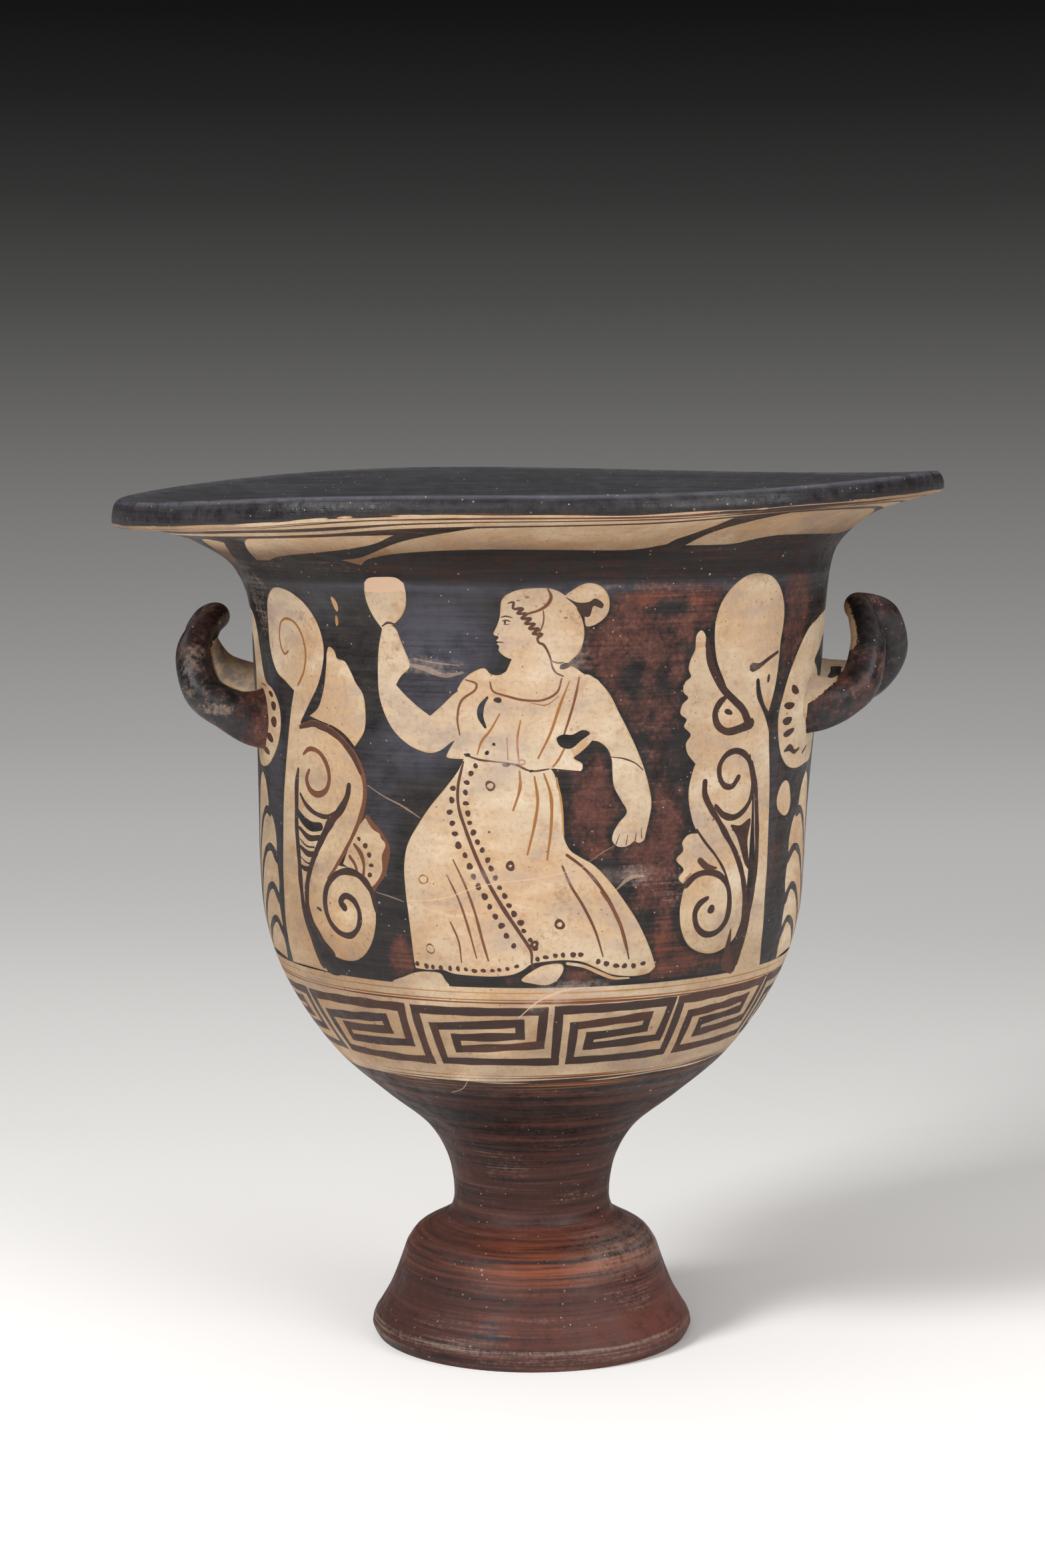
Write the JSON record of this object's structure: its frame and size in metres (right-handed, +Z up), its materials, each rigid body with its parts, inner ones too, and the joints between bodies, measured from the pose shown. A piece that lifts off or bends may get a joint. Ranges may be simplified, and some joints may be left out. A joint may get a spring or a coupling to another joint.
{
  "type": "bell krater",
  "caption": "Fired clay mixing bowl with a flaring lip, a bell-shaped wall, two upturned loop handles and a stemmed foot, painted in red-figure style.",
  "frame": {"origin": "on the ground, under the middle of the mouth", "axes": "+Z up; the painted front faces -Y; the handles stand to -X and +X"},
  "size_m": [0.3496, 0.3496, 0.371],
  "materials": {
    "fired_clay": "black gloss slip over buff fired clay, semi-gloss, worn"
  },
  "bodies": {
    "root": {"krater": "fired_clay"}
  },
  "joints": []
}
